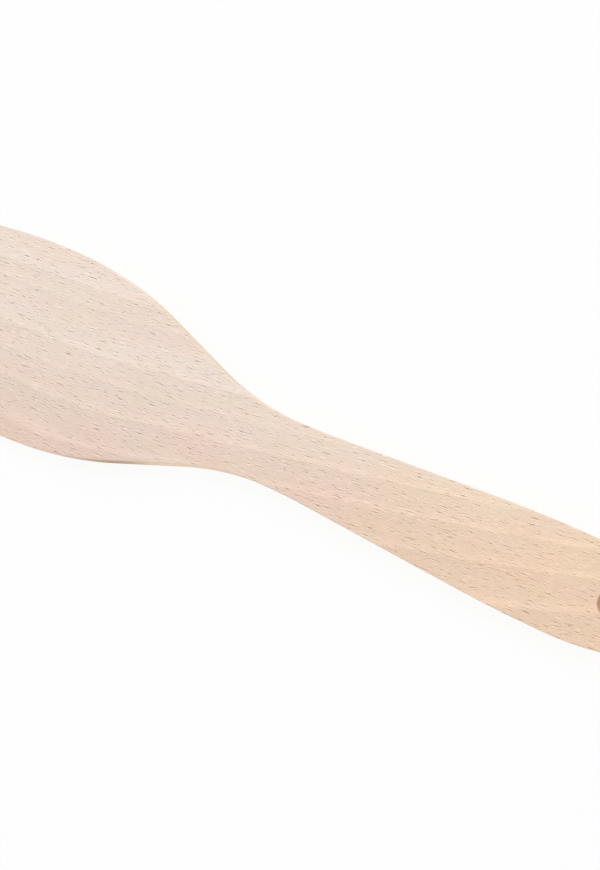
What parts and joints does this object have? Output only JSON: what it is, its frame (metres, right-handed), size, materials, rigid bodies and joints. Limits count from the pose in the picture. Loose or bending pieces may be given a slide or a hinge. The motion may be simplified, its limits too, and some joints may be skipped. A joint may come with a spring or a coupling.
{
  "type": "pancake spatula",
  "caption": "Flat wooden spatula with a wide blade that thins to its front edge, a drawn-in neck, and a swelling handle with a round end and a hanging hole.",
  "frame": {"origin": "under the middle of the board's length and width, on the flat underside at z = 0", "axes": "+X along the board towards the handle's end, +Y across the blade, +Z out of the top face"},
  "size_m": [0.29, 0.0672, 0.0065],
  "materials": {
    "beech": "pale beech, sanded fine and left matt, with short ray flecks and faint growth rings along the board"
  },
  "bodies": {
    "root": {"spatula_body": "beech"}
  },
  "joints": []
}
